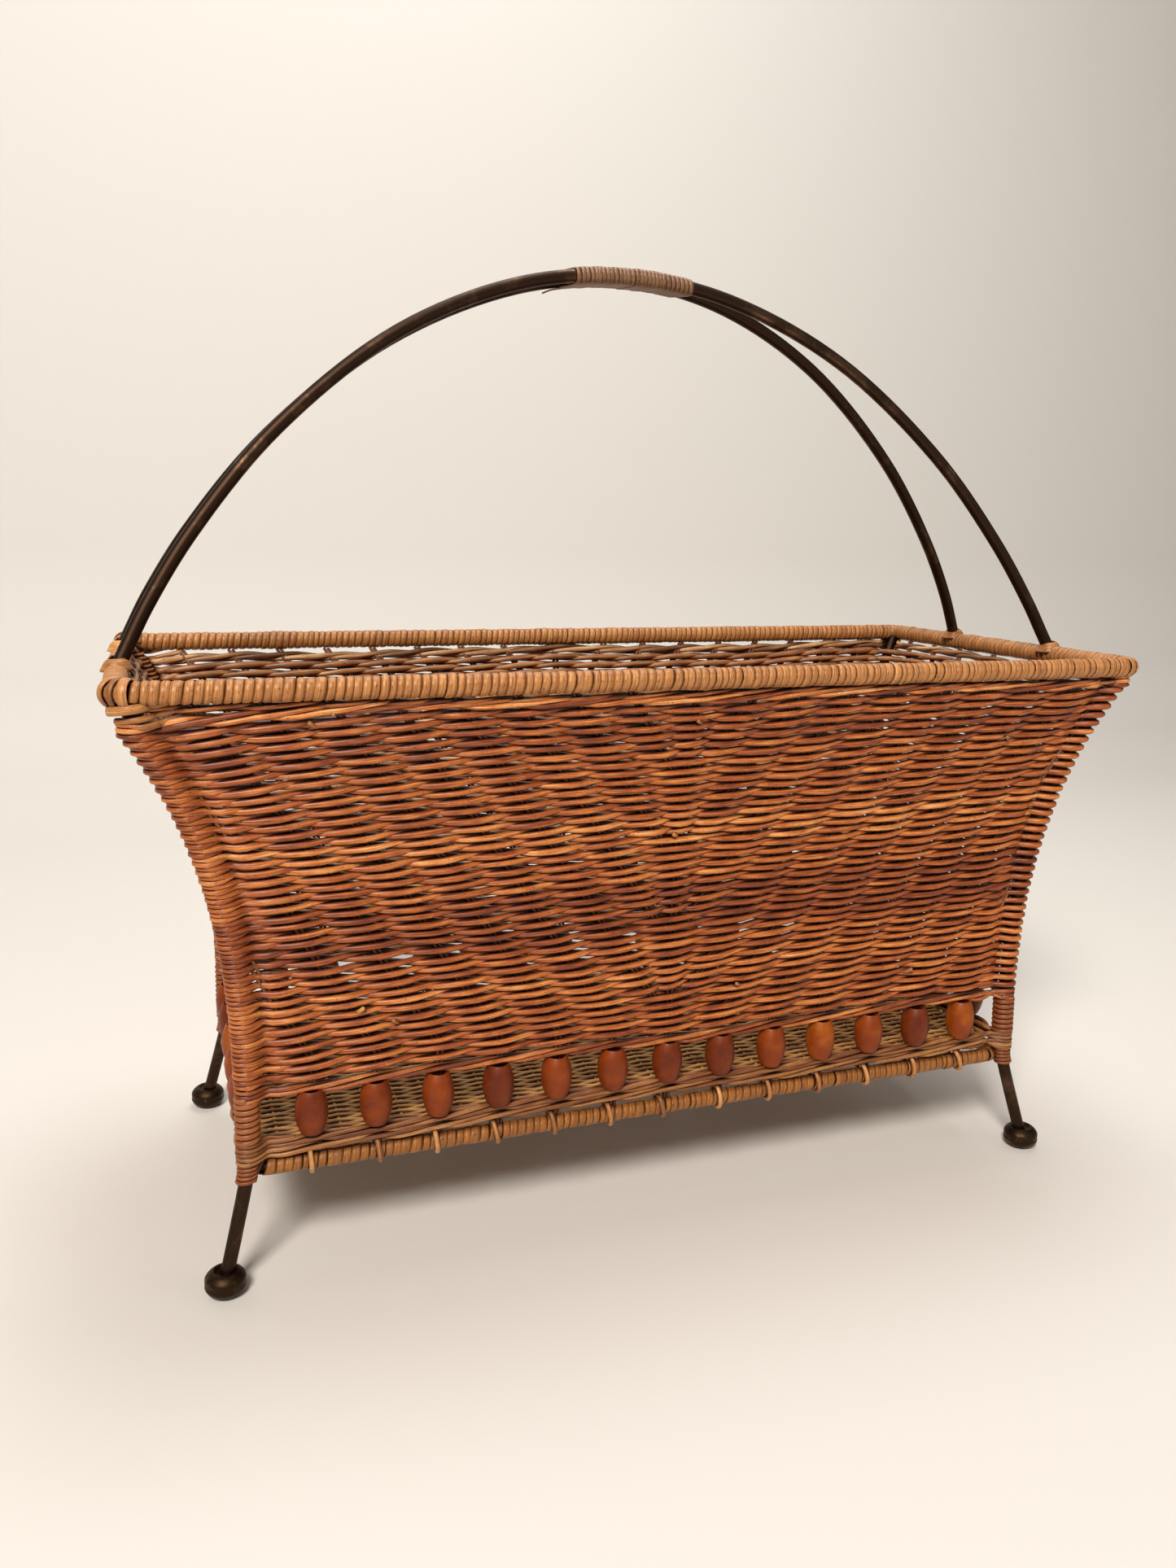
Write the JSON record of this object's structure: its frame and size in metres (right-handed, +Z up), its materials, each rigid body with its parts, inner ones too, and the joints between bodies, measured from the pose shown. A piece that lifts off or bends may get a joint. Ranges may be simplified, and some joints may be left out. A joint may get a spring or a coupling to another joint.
{
  "type": "magazine basket",
  "caption": "Flared rectangular basket of twined rattan on a steel rod frame with ball feet, a band of wooden beads above the base and an arched handle of two rods",
  "frame": {"origin": "on the floor under the middle of the basket", "axes": "+X along the long side to the right, +Y to the back, +Z up; the front is at -Y"},
  "size_m": [0.502, 0.226, 0.4627],
  "materials": {
    "frame_steel": "dark bronzed rod, satin, rubbed lighter on the crowns",
    "foot_steel": "dark bronzed ball, satin with a few rubbed spots",
    "cane_binding": "pale honey cane, split and wound, satin with darker specks",
    "woven_rattan": "stained peeled rattan, satin, varied from strand to strand",
    "base_rattan": "unstained weathered rattan, dull",
    "bead_wood": "turned hardwood, varnished, varied from bead to bead"
  },
  "bodies": {
    "root": {"rim_frame": "frame_steel", "lower_frame": "frame_steel", "rim_binding": "cane_binding", "lower_binding": "cane_binding", "handle_rod_front": "frame_steel", "handle_rod_back": "frame_steel", "grip_binding": "cane_binding", "post_front_left": "frame_steel", "post_back_left": "frame_steel", "post_front_right": "frame_steel", "post_back_right": "frame_steel", "foot_front_left": "foot_steel", "foot_back_left": "foot_steel", "foot_front_right": "foot_steel", "foot_back_right": "foot_steel", "post_wrap_front_left": "cane_binding", "post_wrap_back_left": "cane_binding", "post_wrap_front_right": "cane_binding", "post_wrap_back_right": "cane_binding", "wall_front": "woven_rattan", "wall_back": "woven_rattan", "wall_left": "woven_rattan", "wall_right": "woven_rattan", "woven_base": "base_rattan", "bead_front_01": "bead_wood", "bead_front_02": "bead_wood", "bead_front_03": "bead_wood", "bead_front_04": "bead_wood", "bead_front_05": "bead_wood", "bead_front_06": "bead_wood", "bead_front_07": "bead_wood", "bead_front_08": "bead_wood", "bead_front_09": "bead_wood", "bead_front_10": "bead_wood", "bead_front_11": "bead_wood", "bead_front_12": "bead_wood", "bead_front_13": "bead_wood", "bead_back_01": "bead_wood", "bead_back_02": "bead_wood", "bead_back_03": "bead_wood", "bead_back_04": "bead_wood", "bead_back_05": "bead_wood", "bead_back_06": "bead_wood", "bead_back_07": "bead_wood", "bead_back_08": "bead_wood", "bead_back_09": "bead_wood", "bead_back_10": "bead_wood", "bead_back_11": "bead_wood", "bead_back_12": "bead_wood", "bead_back_13": "bead_wood", "bead_left_01": "bead_wood", "bead_left_02": "bead_wood", "bead_left_03": "bead_wood", "bead_left_04": "bead_wood", "bead_left_05": "bead_wood", "bead_right_01": "bead_wood", "bead_right_02": "bead_wood", "bead_right_03": "bead_wood", "bead_right_04": "bead_wood", "bead_right_05": "bead_wood"}
  },
  "joints": []
}
